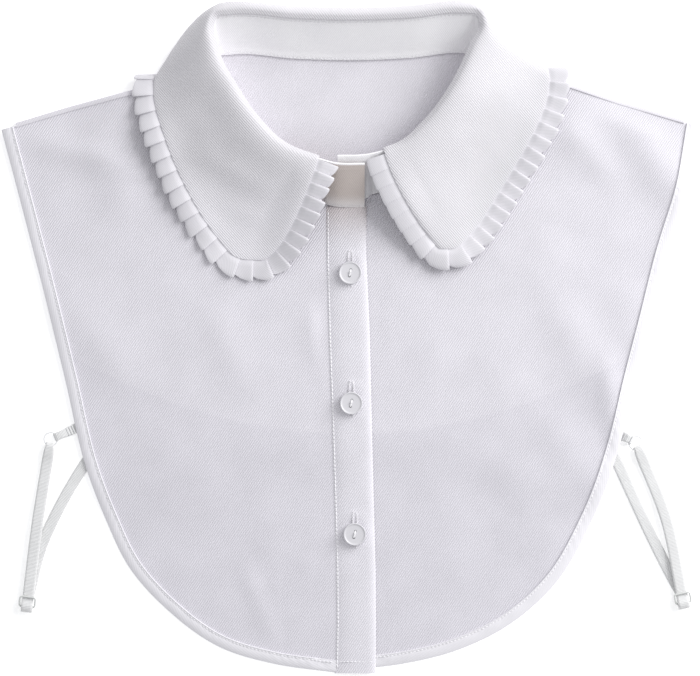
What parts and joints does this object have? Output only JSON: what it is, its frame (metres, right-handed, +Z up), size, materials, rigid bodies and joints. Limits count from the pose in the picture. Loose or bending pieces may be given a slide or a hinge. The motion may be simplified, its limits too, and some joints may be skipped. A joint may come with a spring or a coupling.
{
  "type": "detachable shirt collar",
  "caption": "White detachable shirt collar laid flat, with a pleated frill round its leaf, a buttoned placket and side straps.",
  "frame": {"origin": "bottom centre of the garment's box, on the surface it lies on", "axes": "+X to the viewer's right (the wearer's left), +Y from the hem to the neck, +Z up from the table"},
  "size_m": [0.3832, 0.3686, 0.0256],
  "materials": {
    "cotton_twill": "matt white cotton twill",
    "hem_cotton": "matt white cotton, turned and stitched",
    "collar_cotton": "matt white cotton over interlining",
    "frill_cotton": "matt white cotton, knife-pleated",
    "strap_elastic": "ribbed white elastic webbing",
    "button_resin": "clear to white resin, glossy",
    "nylon": "white nylon, smooth"
  },
  "bodies": {
    "root": {"back_panel": "cotton_twill", "front_right": "cotton_twill", "front_left": "cotton_twill", "placket": "cotton_twill", "hem_right": "hem_cotton", "hem_left": "hem_cotton", "collar_band": "collar_cotton", "collar_leaf": "collar_cotton", "frill": "frill_cotton", "strap_right": "strap_elastic", "strap_left": "strap_elastic", "tab_right": "strap_elastic", "tab_left": "strap_elastic", "button_1": "button_resin", "button_2": "button_resin", "button_3": "button_resin", "ring_right": "nylon", "ring_left": "nylon", "slider_right": "nylon", "slider_left": "nylon"}
  },
  "joints": []
}
